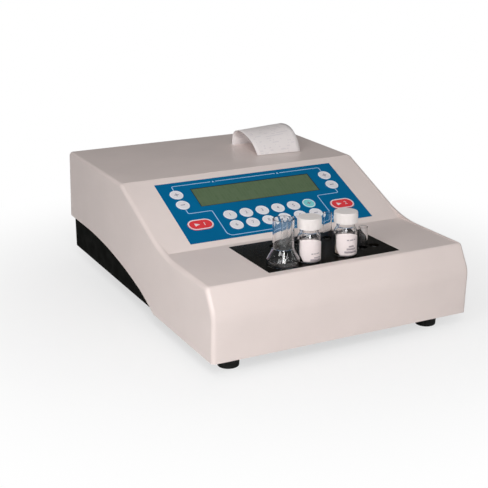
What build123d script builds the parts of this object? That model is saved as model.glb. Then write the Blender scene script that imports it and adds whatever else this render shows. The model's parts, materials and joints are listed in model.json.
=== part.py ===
from build123d import *
from math import atan2, cos, hypot, sin, tan
import os

# Desktop coagulation analyzer, in millimetres.
# Everything is drawn in the cover's own frame: x across, y from the cover's front lower edge
# to the rear, z up from that edge. The last step stands the finished pieces on their feet,
# with the origin on the table under the middle of the housing.

# Cuts and small clearances shared by all pieces
overrun = 5.0
fit_gap = 0.3
running_gap = 0.05
seat_gap = 0.02
match_tolerance = 0.05

# Cover: the side outline, corner by corner from the front foot over the top to the rear foot
housing_width = 302.0
cover_wall = 3.0
crease_lean = 2.2
crease_height = 49.0
crease_radius = 25.0
deck_front = 12.7
deck_height = 75.0
deck_edge_radius = 5.0
slope_foot = 121.0
slope_foot_radius = 3.0
slope_head = 238.0
slope_head_radius = 12.0
top_height = 124.0
top_rear_radius = 6.0
rear_lean = 7.0
rear_foot = 424.0
side_edge_radius = 4.5

# Side lips: the cover's sides stand a little over the slope and the lower deck between them
lip_height = 0.4
lip_width = 5.5
lip_foot_radius = 150.0

# Cover: the side walls' lower edge, which sweeps up towards the rear
hem_start = 149.0
hem_knee_run = 39.0
hem_knee_height = 16.0
hem_rear_run = 52.0
hem_end_height = 40.0
hem_first_bulge_share = 0.542
hem_second_bulge_share = 0.77

# Cover screw posts
post_radius = 5.0
post_inset = 15.0
front_post_y = 66.0
rear_post_setback = 70.0

# Screws, all of one size
screw_radius = 1.5
screw_length = 9.0
screw_head_radius = 2.8
screw_head_height = 2.0

# Base tray and rear panel
tray_gap = 0.4
tray_sheet = 2.0
tray_front_height = 14.0
tray_rear_height = 54.0
tray_edge_radius = 1.5
panel_sheet = 1.5
panel_setback = 9.5
panel_height = 52.0

# Feet
foot_height = 17.5
foot_radius = 12.0
foot_sole_radius = 11.0
foot_inset = 31.2
foot_front_y = 29.2
foot_rear_setback = 31.0

# Keypad on the slope: distances down the slope are measured from the slope's upper corner
keypad_top_run = 11.0
keypad_side_margin = 18.0
keypad_foot_margin = 12.45
keypad_gap = 0.25
overlay_thickness = 1.2
circuit_thickness = 0.4
key_pad_height = 0.1
key_pad_radius = 4.0
key_stand = 0.35
key_travel = 0.45
key_stop_gap = 0.05
key_gap = 0.2
key_radius = 7.75
key_crown_radius = 0.3
side_key_clear = 19.5
side_key_run = 33.0
side_key_spacing = 3.2
row_key_count = 6
row_key_run = 79.0
row_key_spacing = 4.5
row_key_row_spacing = 2.3
start_key_shift = 6.0
start_key_length = 30.0
start_key_width = 17.5
tail_width = 12.0
tail_shift = 9.5
tail_run = 66.0
tail_slot_gap = 1.0
tail_plug_height = 7.0

# Display
window_width = 152.0
window_length = 33.4
window_run = 41.9
pane_thickness = 1.0
pane_border = 6.0
pane_border_run = 4.2
window_edge_gap = 1.5
bezel_gap = 0.2
bezel_sheet = 0.8
bezel_side = 9.0
bezel_edge = 5.3
bezel_height = 7.8
glass_thickness = 2.8
lcd_board_side = 10.0
lcd_board_edge = 5.0
board_thickness = 1.6
lcd_post_radius = 3.0
lcd_post_inset = 5.0

# Incubation block and its cover plate on the lower deck
plate_front = 22.5
plate_rear_gap = 7.0
plate_thickness = 3.0
plate_gap = 0.3
plate_corner_radius = 1.0
block_margin = 2.0
block_floor = 6.0
well_gap = 0.5
row_well_spacing = 2.0
row_well_count = 6
row_well_setback = 19.0
row_well_depth = 32.0
test_well_x = 49.0
test_well_side = 28.3
test_well_spacing = 3.0
test_well_inset = 27.1
test_well_depth = 38.0
light_bore_radius = 2.6
light_bore_depth_down = 26.0
detector_pocket_inset = 41.0
detector_pocket_length = 14.0
detector_pocket_margin = 9.0
detector_pocket_height = 24.0
diode_radius = 2.4
diode_length = 8.0
diode_flange_radius = 3.4
diode_flange_length = 1.5
spacer_radius = 4.0
spacer_inset = 9.0
heater_thickness = 1.2
heater_width = 84.0
heater_length = 40.0
heater_setback = 10.0
heater_shift = 14.0

# Stirrer under the two test wells
stirrer_motor_radius = 12.0
stirrer_head_room = 11.0
stirrer_shaft_radius = 1.0
stirrer_shaft_length = 7.0
stirrer_rotor_radius = 11.0
stirrer_rotor_height = 5.0
stirrer_rotor_lift = 1.0
stirrer_magnet_radius = 3.0
stirrer_magnet_height = 1.5
stirrer_magnet_offset = 6.5

# Main board
main_board_front_gap = 7.0
main_board_rear_gap = 11.5
main_board_lift = 8.0
board_hole_inset = 6.0
chip_height = 3.2
capacitor_radius = 4.5
capacitor_height = 18.0
plug_depth = 6.0

# Power: transformer, inlet and switch
core_width = 64.0
core_height = 54.0
core_depth = 30.0
core_leg = 10.5
core_inset = 65.0
core_setback = 58.0
coil_gap = 0.3
coil_overhang = 11.0
power_height = 19.0
inlet_inset = 47.0
inlet_flange_width = 50.0
inlet_flange_height = 28.0
inlet_flange_thickness = 2.6
inlet_body_width = 30.0
inlet_body_height = 22.0
inlet_body_depth = 20.0
inlet_socket_width = 24.6
inlet_socket_height = 16.4
inlet_socket_depth = 16.0
inlet_socket_chamfer = 4.5
inlet_blade_width = 4.0
inlet_blade_thickness = 2.0
inlet_blade_setback = 4.5
inlet_blade_pitch = 7.0
inlet_blade_rise = 2.0
inlet_screw_pitch = 40.0
switch_spacing = 44.0
switch_frame_width = 15.0
switch_frame_height = 21.0
switch_frame_thickness = 2.2
switch_body_width = 12.6
switch_body_height = 19.0
switch_body_depth = 12.0
rocker_width = 9.2
rocker_radius = 7.4
rocker_gap = 0.2
rocker_crown = 4.4
rocker_drop = 1.6
rocker_angle = 10.0
rocker_pin_radius = 1.0
rocker_pin_length = 1.0

# Serial port
port_inset = 67.0
port_flange_width = 31.0
port_flange_height = 12.5
port_flange_thickness = 1.0
port_shell_width = 17.0
port_shell_height = 8.6
port_shell_length = 4.8
port_shell_wall = 0.6
port_shell_chamfer = 2.0
port_body_depth = 9.0
port_pin_radius = 0.5
port_pin_pitch = 2.76
port_pin_rows_gap = 2.84
port_screw_pitch = 25.0

# Printer and its paper
paper_inset = 76.0
paper_width = 57.5
paper_thickness = 0.3
paper_setback = 61.5
roll_radius = 24.0
roll_drop = 46.0
spindle_radius = 5.0
slot_length = 61.0
slot_width = 4.4
arch_rise = 23.6
arch_rear_radius = 12.0
arch_brow_run = 43.0
arch_brow_radius = 32.0
arch_knee_run = 65.0
arch_knee_rise = 12.0
arch_knee_radius = 15.0
arch_reach = 74.0
paper_rest_gap = 0.25
frame_sheet = 2.0
frame_side_gap = 2.4
frame_front_reach = 56.0
frame_rear_reach = 16.0
frame_top_gap = 3.0
frame_foot_width = 10.0
platen_radius = 6.0
platen_drop = 17.0
platen_shaft_radius = 2.0
platen_shaft_length = 11.0
head_depth = 8.0
head_height = 12.0
motor_size = 25.0
motor_length = 14.0

# Reagent vials, flask and tubes standing in the block
vial_radius = 12.0
vial_body_height = 26.0
vial_shoulder_height = 4.4
vial_neck_radius = 9.5
vial_neck_height = 14.3
vial_wall = 1.2
vial_floor = 1.6
cap_radius = 12.25
cap_height = 11.5
cap_top = 1.5
cap_gap = 0.15
cap_edge_radius = 0.8
vial_1_x = -22.7
vial_spacing = 19.1
vial_inset = 16.4
flask_spacing = 0.4
flask_inset = 17.3
flask_radius = 17.0
flask_neck_radius = 11.0
flask_height = 47.5
flask_neck_start = 17.4
flask_skirt = 6.0
flask_waist_share = 0.45
tube_radius = 5.0
tube_wall = 0.8
tube_length = 60.0
tube_rest_gap = 0.1
wells_before_tube_count = (1, 2, 5)

# Worked out from the sizes above
half_width = housing_width / 2
top_rear = rear_foot - rear_lean
slope_rise = top_height - deck_height
slope_angle = atan2(slope_rise, slope_head - slope_foot)
inside_half_width = half_width - cover_wall
deck_underside = deck_height - cover_wall
top_underside = top_height - cover_wall
recess_depth = overlay_thickness + circuit_thickness
key_thickness = overlay_thickness + key_stand - key_pad_height - key_travel - key_stop_gap
side_key_x = window_width / 2 + side_key_clear
side_key_pitch = 2 * key_radius + side_key_spacing
row_key_pitch_x = 2 * key_radius + row_key_spacing
row_key_pitch = 2 * key_radius + row_key_row_spacing
start_key_x = side_key_x - start_key_shift
start_key_run = row_key_run + row_key_pitch / 2
tail_x = side_key_x + tail_shift
keypad_width = 2 * (side_key_x + keypad_side_margin)
keypad_length = row_key_run + row_key_pitch + key_radius + keypad_foot_margin - keypad_top_run
bezel_width = window_width + 2 * bezel_side
bezel_length = window_length + 2 * bezel_edge
lcd_board_width = bezel_width + 2 * lcd_board_side
lcd_board_length = bezel_length + 2 * lcd_board_edge
tray_half_width = inside_half_width - tray_gap
tray_front = cover_wall + tray_gap
panel_rear = rear_foot - panel_setback
panel_front = panel_rear - panel_sheet
plate_width = 2 * (test_well_x + test_well_side)
plate_rear = slope_foot - plate_rear_gap
plate_underside = deck_height - plate_thickness
block_width = plate_width - 2 * block_margin
well_radius = tube_radius + well_gap
row_well_pitch = 2 * well_radius + row_well_spacing
test_well_pitch = 2 * well_radius + test_well_spacing
block_bottom = deck_height - test_well_depth - block_floor
stirrer_motor_height = block_bottom - tray_sheet - stirrer_head_room
block_front = plate_front + block_margin
block_rear = plate_rear - block_margin
row_well_y = plate_rear - row_well_setback
test_well_y = plate_front + test_well_inset
paper_x = half_width - paper_inset
paper_y = top_rear - paper_setback
main_board_width = 2 * tail_x + tail_width
main_board_front = slope_foot + main_board_front_gap
main_board_rear = paper_y - frame_front_reach - main_board_rear_gap
main_board_length = main_board_rear - main_board_front
main_board_bottom = tray_sheet + main_board_lift
main_board_top = main_board_bottom + board_thickness
rear_post_y = rear_foot - rear_post_setback
foot_rear_y = rear_foot - foot_rear_setback
core_x = core_inset - half_width
inlet_x = inlet_inset - half_width
switch_x = inlet_x + switch_spacing
port_x = half_width - port_inset
roll_height = top_height - roll_drop
platen_height = top_height - platen_drop
paper_face_y = paper_y - paper_thickness
roll_y = paper_face_y - fit_gap - roll_radius
platen_y = paper_face_y - fit_gap - platen_radius
frame_half_width = paper_width / 2 + frame_side_gap
frame_top = top_underside - frame_top_gap
vial_height = vial_body_height + vial_shoulder_height + vial_neck_height
flask_x = vial_1_x - vial_radius - flask_spacing - flask_radius
vial_2_x = vial_1_x + 2 * vial_radius + vial_spacing
flask_centre = (flask_x, plate_front + flask_inset)
vial_centres = ((vial_1_x, plate_front + vial_inset), (vial_2_x, plate_front + vial_inset))

slope = Plane(
    origin=(0, slope_head, top_height),
    x_dir=(1, 0, 0),
    z_dir=(0, -sin(slope_angle), cos(slope_angle)),
)


def block(x, y, z):
    """A box between the low and high value of each axis."""
    size = Box(x[1] - x[0], y[1] - y[0], z[1] - z[0], align=Align.MIN)
    return Pos(x[0], y[0], z[0]) * size


def rod(x, y, z, radius):
    """An upright cylinder between two heights."""
    post = Cylinder(radius, z[1] - z[0], align=(Align.CENTER, Align.CENTER, Align.MIN))
    return Pos(x, y, z[0]) * post


def rod_x(x, y, z, radius):
    """A cylinder lying along x between two places."""
    turned = Plane(origin=(x[0], y, z), x_dir=(0, 1, 0), z_dir=(1, 0, 0))
    return turned * Cylinder(radius, x[1] - x[0], align=(Align.CENTER, Align.CENTER, Align.MIN))


def rod_y(x, y, z, radius):
    """A cylinder lying along y between two places."""
    turned = Plane(origin=(x, y[0], z), x_dir=(1, 0, 0), z_dir=(0, 1, 0))
    return turned * Cylinder(radius, y[1] - y[0], align=(Align.CENTER, Align.CENTER, Align.MIN))


def slab(x, run, depth, width, length, thickness):
    """A plate parallel to the slope, with its upper face at a depth under the slope."""
    plate = Box(width, length, thickness, align=(Align.CENTER, Align.CENTER, Align.MAX))
    return slope * Pos(x, -run, -depth) * plate


def pin(x, run, depth, radius, length):
    """A round post square to the slope, with its upper end at a depth under the slope."""
    post = Cylinder(radius, length, align=(Align.CENTER, Align.CENTER, Align.MAX))
    return slope * Pos(x, -run, -depth) * post


def along_x(face, x):
    """Sweeps an outline drawn in the y-z plane between two places on x."""
    return Pos(x[0], 0, 0) * extrude(face, x[1] - x[0], dir=(1, 0, 0))


def spun(points, radii):
    """A round body from a closed outline of radius and height, with rounded corners."""
    outline = FilletPolyline(*[(r, 0, z) for r, z in points], radius=radii, close=True)
    return revolve(make_face(outline), Axis.Z)


def rear_window(centre, width, height, y):
    """A box between two places on y, centred on the connectors' height."""
    half_x = width / 2
    half_z = height / 2
    return block((centre - half_x, centre + half_x), y, (power_height - half_z, power_height + half_z))


def moved_in(points, gap):
    """The corners of an outline whose sides have all moved in, to the right of their run."""
    sides = []
    for start, end in zip(points, points[1:]):
        length = hypot(end[0] - start[0], end[1] - start[1])
        run = ((end[0] - start[0]) / length, (end[1] - start[1]) / length)
        sides.append((start[0] + gap * run[1], start[1] - gap * run[0], run[0], run[1]))
    inner = [sides[0][:2]]
    for first, second in zip(sides, sides[1:]):
        cross = first[2] * second[3] - first[3] * second[2]
        across = (second[0] - first[0]) * second[3] - (second[1] - first[1]) * second[2]
        travel = across / cross
        inner.append((first[0] + travel * first[2], first[1] + travel * first[3]))
    last = sides[-1]
    length = hypot(points[-1][0] - points[-2][0], points[-1][1] - points[-2][1])
    inner.append((last[0] + length * last[2], last[1] + length * last[3]))
    return inner


def keys():
    """Name, centre across and down the slope, and whether it is a long start key."""
    places = []
    for side, sign in (("left", -1), ("right", 1)):
        for row, name in enumerate(("upper", "lower")):
            run = side_key_run + row * side_key_pitch
            places.append((f"key_{side}_{name}", sign * side_key_x, run, False))
        places.append((f"key_start_{side}", sign * start_key_x, start_key_run, True))
    for row in range(2):
        for column in range(row_key_count):
            x = (column - (row_key_count - 1) / 2) * row_key_pitch_x
            run = row_key_run + row * row_key_pitch
            places.append((f"key_row_{row + 1}_{column + 1}", x, run, False))
    return places


def key_outline(long, gap):
    """A round or stadium-shaped outline, grown by a gap."""
    if long:
        return SlotOverall(start_key_length + 2 * gap, start_key_width + 2 * gap)
    return Circle(key_radius + gap)


def key_body(x, run, long):
    """A key disc with a softened upper edge."""
    disc = extrude(key_outline(long, 0), key_thickness)
    disc = fillet(disc.faces().sort_by(Axis.Z)[-1].edges(), key_crown_radius)
    return slope * Pos(x, -run, key_stand - key_thickness) * disc


def lcd_post_places():
    """Screw places of the display board, across and down the slope."""
    half_x = lcd_board_width / 2 - lcd_post_inset
    half_run = lcd_board_length / 2 - lcd_post_inset
    return [(sx * half_x, window_run + sr * half_run) for sx in (-1, 1) for sr in (-1, 1)]


def case_post_places():
    """Places of the four posts that take the cover's screws."""
    x = half_width - post_inset
    return [(sign * x, y) for sign in (-1, 1) for y in (front_post_y, rear_post_y)]


def spacer_places():
    """Places of the pillars under the incubation block."""
    x = block_width / 2 - spacer_inset
    rows = (block_front + spacer_inset, block_rear - spacer_inset)
    return [(sign * x, y) for sign in (-1, 1) for y in rows]


def board_hole_places():
    """Places of the main board's screw holes."""
    x = main_board_width / 2 - board_hole_inset
    rows = (main_board_front + board_hole_inset, main_board_rear - board_hole_inset)
    return [(sign * x, y) for sign in (-1, 1) for y in rows]


def row_well_places():
    """Centres of the rear row of incubation wells."""
    first = -(row_well_count - 1) / 2 * row_well_pitch
    return [(first + i * row_well_pitch, row_well_y) for i in range(row_well_count)]


def test_well_places():
    """Centres of the two wells where clotting is measured."""
    return [(test_well_x + i * test_well_pitch, test_well_y) for i in range(2)]


def tail_top():
    """Where the circuit's tail leaves it, inside the sheet's thickness."""
    depth = overlay_thickness + circuit_thickness / 2
    y = slope_head - tail_run * cos(slope_angle) + depth * sin(slope_angle)
    z = top_height - tail_run * sin(slope_angle) - depth * cos(slope_angle)
    return y, z


def cover_outline(rise, foot_radius):
    """Corners and corner radii of the cover's side, with the deck and slope raised by a height."""
    nose_lean = (deck_front + crease_lean) / (deck_height - crease_height)
    corners = [
        (0, 0),
        (-crease_lean, crease_height),
        (deck_front + rise * nose_lean, deck_height + rise),
        (slope_foot - rise * tan(slope_angle / 2), deck_height + rise),
        (slope_head - rise / sin(slope_angle), top_height),
        (top_rear, top_height),
        (rear_foot, hem_end_height),
    ]
    radii = [crease_radius, deck_edge_radius, foot_radius, slope_head_radius, top_rear_radius]
    return corners, radii


def cover_shell():
    """The moulded shell without its openings."""
    corners, radii = cover_outline(lip_height, lip_foot_radius)
    roof = FilletPolyline(*[(0, y, z) for y, z in corners], radius=radii)
    knee = (0, hem_start + hem_knee_run, hem_knee_height)
    end = (0, rear_foot - hem_rear_run, hem_end_height)
    first_middle = (0, hem_start + hem_knee_run / 2, hem_knee_height * hem_first_bulge_share)
    second_y = (knee[1] + end[1]) / 2
    second_z = knee[2] + (end[2] - knee[2]) * hem_second_bulge_share
    hem = [
        Line((0, rear_foot, hem_end_height), end),
        ThreePointArc(end, (0, second_y, second_z), knee),
        ThreePointArc(knee, first_middle, (0, hem_start, 0)),
        Line((0, hem_start, 0), (0, 0, 0)),
    ]
    face = make_face(roof.edges() + [edge for line in hem for edge in line.edges()])
    body = along_x(face, (-half_width, half_width))
    crests = [edge.center() for edge in roof.edges()]
    side_edges = []
    for edge in body.edges():
        middle = edge.center()
        on_side = abs(abs(middle.X) - half_width) < match_tolerance
        on_roof = any(hypot(middle.Y - c.Y, middle.Z - c.Z) < match_tolerance for c in crests)
        if on_side and on_roof:
            side_edges.append(edge)
    body = fillet(side_edges, side_edge_radius)

    corners, radii = cover_outline(0, slope_foot_radius)
    inner = moved_in(corners, cover_wall)
    inner[0] = (inner[0][0], -overrun)
    inner_radii = []
    for radius, turn in zip(radii, (-1, -1, 1, -1, -1)):
        inner_radii.append(max(radius + turn * cover_wall, cover_wall / 2))
    ceiling = FilletPolyline(*[(0, y, z) for y, z in inner], radius=inner_radii)
    rear = inner[-1]
    floor = [
        Line((0, rear[0], rear[1]), (0, rear[0], -overrun)),
        Line((0, rear[0], -overrun), (0, inner[0][0], -overrun)),
    ]
    hollow = make_face(ceiling.edges() + [edge for line in floor for edge in line.edges()])
    return body - along_x(hollow, (-inside_half_width, inside_half_width))


def between_lips():
    """What the moulding leaves out between the two side lips, over the deck and the slope."""
    foot = (0, slope_foot, deck_height)
    front = (0, deck_front - overrun, deck_height)
    head = (0, slope_head, top_height)
    line = FilletPolyline(front, foot, head, radius=slope_foot_radius)
    high = top_height + overrun
    over = [
        Line(head, (0, slope_head, high)),
        Line((0, slope_head, high), (0, deck_front - overrun, high)),
        Line((0, deck_front - overrun, high), front),
    ]
    face = make_face(line.edges() + [edge for side in over for edge in side.edges()])
    return along_x(face, (lip_width - half_width, half_width - lip_width))


def top_cover():
    """The light moulded cover with its keypad recess, openings and screw posts."""
    cover = cover_shell() - between_lips()
    for x, y in case_post_places():
        roof = deck_height if y < slope_foot else top_height
        cover += rod(x, y, (tray_sheet, roof - cover_wall / 2), post_radius)
    for x, y in case_post_places():
        cover -= rod(x, y, (0, screw_length + tray_sheet), screw_radius + running_gap)

    keypad_run = keypad_top_run + keypad_length / 2
    width = keypad_width + 2 * keypad_gap
    length = keypad_length + 2 * keypad_gap
    cover -= slab(0, keypad_run, -overrun, width, length, overrun + recess_depth)
    cut_width = window_width + 2 * window_edge_gap
    cut_length = window_length + 2 * window_edge_gap
    cover -= slab(0, window_run, 0, cut_width, cut_length, cover_wall + overrun)
    tail_y, tail_z = tail_top()
    tail_half = (tail_width + tail_slot_gap) / 2
    slot_x = (tail_x - tail_half, tail_x + tail_half)
    slot_y = (tail_y - tail_slot_gap, tail_y + tail_slot_gap)
    cover -= block(slot_x, slot_y, (tail_z - overrun, tail_z + overrun))
    post_length = pane_thickness + bezel_gap + bezel_height
    for x, run in lcd_post_places():
        cover += pin(x, run, cover_wall - cover_wall / 4, lcd_post_radius, post_length + cover_wall / 4)
    for x, run in lcd_post_places():
        bore = screw_length - board_thickness
        cover -= pin(x, run, cover_wall + post_length - bore, screw_radius + running_gap, bore + overrun)

    opening_x = plate_width / 2 + plate_gap
    opening_y = (plate_front - plate_gap, plate_rear + plate_gap)
    cover -= block((-opening_x, opening_x), opening_y, (deck_underside - overrun, deck_height + overrun))

    paper_slot_x = (paper_x - slot_length / 2, paper_x + slot_length / 2)
    paper_slot_y = (paper_y - paper_thickness - slot_width / 2, paper_y + slot_width / 2)
    cover -= block(paper_slot_x, paper_slot_y, (top_underside - overrun, top_height + overrun))
    return cover


def base_tray():
    """The black sheet tray that carries everything inside."""
    corners = [
        (tray_front, 0),
        (panel_rear, 0),
        (panel_rear, tray_rear_height),
        (tray_front, tray_front_height),
    ]
    face = make_face(Polyline(*[(0, y, z) for y, z in corners], close=True))
    tray = along_x(face, (-tray_half_width, tray_half_width))
    lower = [e for e in tray.edges() if e.center().Z < match_tolerance]
    tray = fillet(lower, tray_edge_radius)
    inside_x = tray_half_width - tray_sheet
    inside_y = (tray_front + tray_sheet, panel_rear + overrun)
    tray -= block((-inside_x, inside_x), inside_y, (tray_sheet, tray_rear_height + overrun))
    for x, y in case_post_places():
        tray -= rod(x, y, (-overrun, tray_sheet + overrun), screw_radius + running_gap)
    return tray


def rear_panel():
    """The connector panel that closes the tray at the back."""
    x = tray_half_width - tray_sheet - running_gap
    panel = block((-x, x), (panel_front, panel_rear), (tray_sheet, panel_height))
    through = (panel_front - overrun, panel_rear + overrun)
    room = 2 * running_gap
    panel -= rear_window(inlet_x, inlet_body_width + room, inlet_body_height + room, through)
    panel -= rear_window(switch_x, switch_body_width + room, switch_body_height + room, through)
    panel -= rear_window(port_x, port_shell_width + room, port_shell_height + room, through)
    for centre, pitch in ((inlet_x, inlet_screw_pitch), (port_x, port_screw_pitch)):
        for sign in (-1, 1):
            x_hole = centre + sign * pitch / 2
            panel -= rod_y(x_hole, through, power_height, screw_radius + running_gap)
    return panel


def rubber_feet():
    """Four tapered rubber feet."""
    feet = []
    for sign in (-1, 1):
        for y in (foot_front_y, foot_rear_y):
            cone = Cone(foot_sole_radius, foot_radius, foot_height)
            cone = fillet(cone.faces().sort_by(Axis.Z)[0].edges(), foot_radius - foot_sole_radius)
            feet.append(Pos(sign * (half_width - foot_inset), y, -foot_height / 2) * cone)
    return feet


def screw():
    """A pan-head screw pointing up, with the underside of its head at the origin."""
    head = Cylinder(screw_head_radius, screw_head_height, align=(Align.CENTER, Align.CENTER, Align.MAX))
    head = fillet(head.faces().sort_by(Axis.Z)[0].edges(), screw_head_height / 3)
    shank = Cylinder(screw_radius, screw_length, align=(Align.CENTER, Align.CENTER, Align.MIN))
    cross = Box(screw_head_radius, screw_radius / 3, screw_head_height)
    cross += Rot(0, 0, 90) * cross
    return head + shank - Pos(0, 0, -screw_head_height) * cross


def screws():
    """The case, display, inlet and port screws."""
    made = [Pos(x, y, 0) * screw() for x, y in case_post_places()]
    board_back = cover_wall + pane_thickness + bezel_gap + bezel_height + board_thickness
    for x, run in lcd_post_places():
        made.append(slope * Pos(x, -run, -board_back) * screw())
    for centre, pitch, proud in (
        (inlet_x, inlet_screw_pitch, inlet_flange_thickness),
        (port_x, port_screw_pitch, port_flange_thickness),
    ):
        for sign in (-1, 1):
            seat = Plane(
                origin=(centre + sign * pitch / 2, panel_rear + proud, power_height),
                x_dir=(1, 0, 0),
                z_dir=(0, -1, 0),
            )
            made.append(seat * screw())
    return made


def keypad_overlay():
    """The flat printed front of the keypad, with its window and key holes."""
    run = keypad_top_run + keypad_length / 2
    sheet = slab(0, run, 0, keypad_width, keypad_length, overlay_thickness)
    sheet -= slab(0, window_run, -overrun, window_width, window_length, overlay_thickness + 2 * overrun)
    for name, x, key_run, long in keys():
        hole = extrude(key_outline(long, key_gap), overlay_thickness + 2 * overrun)
        sheet -= slope * Pos(x, -key_run, -overlay_thickness - overrun) * hole
    return sheet


def keypad_circuit():
    """The switch sheet under the keys and its flat tail down to the main board."""
    run = keypad_top_run + keypad_length / 2
    sheet = slab(0, run, overlay_thickness, keypad_width, keypad_length, circuit_thickness)
    cut_width = window_width + 2 * window_edge_gap
    cut_length = window_length + 2 * window_edge_gap
    sheet -= slab(0, window_run, -overrun, cut_width, cut_length, recess_depth + 2 * overrun)
    for name, x, key_run, long in keys():
        top = overlay_thickness - key_pad_height
        sheet += pin(x, key_run, top, key_pad_radius, key_pad_height + circuit_thickness / 2)
    y, z = tail_top()
    half = tail_width / 2
    strip_y = (y - circuit_thickness / 2, y + circuit_thickness / 2)
    strip_z = (main_board_top + tail_plug_height + seat_gap, z)
    return sheet + block((tail_x - half, tail_x + half), strip_y, strip_z)


def display_window():
    """The clear pane behind the keypad's window."""
    width = window_width + 2 * pane_border
    length = window_length + 2 * pane_border_run
    return slab(0, window_run, cover_wall, width, length, pane_thickness)


def lcd_bezel():
    """The black sheet frame that clamps the display glass to its board."""
    top = cover_wall + pane_thickness + bezel_gap
    frame = slab(0, window_run, top, bezel_width, bezel_length, bezel_height)
    hollow_width = bezel_width - 2 * bezel_sheet
    hollow_length = bezel_length - 2 * bezel_sheet
    frame -= slab(0, window_run, top + bezel_sheet, hollow_width, hollow_length, bezel_height)
    frame -= slab(0, window_run, top - overrun, window_width, window_length, bezel_height + overrun)
    return frame


def lcd_glass():
    """The liquid crystal cell under the bezel."""
    top = cover_wall + pane_thickness + bezel_gap + bezel_sheet
    width = bezel_width - 2 * bezel_sheet - 2 * bezel_gap
    length = bezel_length - 2 * bezel_sheet - 2 * bezel_gap
    return slab(0, window_run, top, width, length, glass_thickness)


def lcd_board():
    """The display's circuit board with its backlight."""
    top = cover_wall + pane_thickness + bezel_gap + bezel_height
    board = slab(0, window_run, top, lcd_board_width, lcd_board_length, board_thickness)
    light_top = top - bezel_height + bezel_sheet + glass_thickness
    width = bezel_width - 2 * bezel_sheet - 2 * bezel_gap
    length = bezel_length - 2 * bezel_sheet - 2 * bezel_gap
    board += slab(0, window_run, light_top, width, length, top - light_top + board_thickness / 2)
    for x, run in lcd_post_places():
        board -= pin(x, run, top - overrun, screw_radius + running_gap, board_thickness + 2 * overrun)
    return board


def block_top_plate():
    """The black plate on the lower deck, flat under the vials and the flask, with holes for tubes."""
    half = plate_width / 2
    plate = block((-half, half), (plate_front, plate_rear), (plate_underside, deck_height))
    plate = fillet(plate.edges().filter_by(Axis.Z), plate_corner_radius)
    through = (plate_underside - overrun, deck_height + overrun)
    for x, y in row_well_places() + test_well_places():
        plate -= rod(x, y, through, well_radius)
    return plate


def detector_pocket():
    """The space milled in the underside of the block for the light detectors."""
    low_x = test_well_x - detector_pocket_margin
    high_x = test_well_x + test_well_pitch + detector_pocket_margin
    y = plate_front + detector_pocket_inset
    return (low_x, high_x), (y, y + detector_pocket_length)


def incubation_block():
    """The heated aluminium block with its wells and light bores."""
    half = block_width / 2
    body = block((-half, half), (block_front, block_rear), (block_bottom, plate_underside))
    for x, y in row_well_places():
        body -= rod(x, y, (deck_height - row_well_depth, deck_height + overrun), well_radius)
    pocket_x, pocket_y = detector_pocket()
    body -= block(pocket_x, pocket_y, (block_bottom - overrun, block_bottom + detector_pocket_height))
    for x, y in test_well_places():
        body -= rod(x, y, (deck_height - test_well_depth, deck_height + overrun), well_radius)
        beam = deck_height - light_bore_depth_down
        body -= rod_y(x, (block_front - overrun, pocket_y[0] + overrun), beam, light_bore_radius)
    return body


def spacers():
    """Round pillars under the incubation block and the main board."""
    low = tray_sheet + seat_gap
    made = [rod(x, y, (low, block_bottom - seat_gap), spacer_radius) for x, y in spacer_places()]
    for x, y in board_hole_places():
        made.append(rod(x, y, (low, main_board_bottom - seat_gap), spacer_radius))
    return made


def block_heater():
    """The flat heater bonded under the block."""
    x = (-heater_shift - heater_width / 2, -heater_shift + heater_width / 2)
    rear = block_rear - heater_setback
    return block(x, (rear - heater_length, rear), (block_bottom - heater_thickness, block_bottom))


def channel_leds():
    """One lamp in the front end of each light bore."""
    made = []
    beam = deck_height - light_bore_depth_down
    for x, y in test_well_places():
        flange = rod_y(x, (block_front - diode_flange_length, block_front), beam, diode_flange_radius)
        lamp = rod_y(x, (block_front - diode_flange_length, block_front + diode_length), beam, diode_radius)
        made.append(flange + lamp)
    return made


def detector_board():
    """The small upright board with a light detector behind each test well."""
    pocket_x, pocket_y = detector_pocket()
    x = (pocket_x[0] + fit_gap, pocket_x[1] - fit_gap)
    face = pocket_y[0] + detector_pocket_length / 2
    z = (block_bottom, block_bottom + detector_pocket_height - fit_gap)
    board = block(x, (face, face + board_thickness), z)
    beam = deck_height - light_bore_depth_down
    for x_well, y_well in test_well_places():
        board += rod_y(x_well, (pocket_y[0] + fit_gap, face + board_thickness / 2), beam, diode_radius)
    return board


def stirrer_centre():
    """The stirrer's axis lies midway between the two test wells."""
    return test_well_x + test_well_pitch / 2, test_well_y


def stirrer_motor():
    """A small motor on the tray floor."""
    x, y = stirrer_centre()
    top = tray_sheet + stirrer_motor_height
    can = rod(x, y, (tray_sheet, top), stirrer_motor_radius)
    can = fillet(can.faces().sort_by(Axis.Z)[-1].edges(), stirrer_shaft_radius)
    return can + rod(x, y, (top - stirrer_shaft_radius, top + stirrer_shaft_length), stirrer_shaft_radius)


def stirrer_rotor():
    """The rotor on the motor's shaft, with two magnets on its upper face."""
    x, y = stirrer_centre()
    low = tray_sheet + stirrer_motor_height + stirrer_rotor_lift
    high = low + stirrer_rotor_height
    disc = rod(x, y, (low, high), stirrer_rotor_radius)
    for sign in (-1, 1):
        magnet_x = x + sign * stirrer_magnet_offset
        magnet_z = (high - stirrer_magnet_height, high + stirrer_magnet_height)
        disc += rod(magnet_x, y, magnet_z, stirrer_magnet_radius)
    return disc - rod(x, y, (low - overrun, high + overrun), stirrer_shaft_radius + running_gap)


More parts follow.
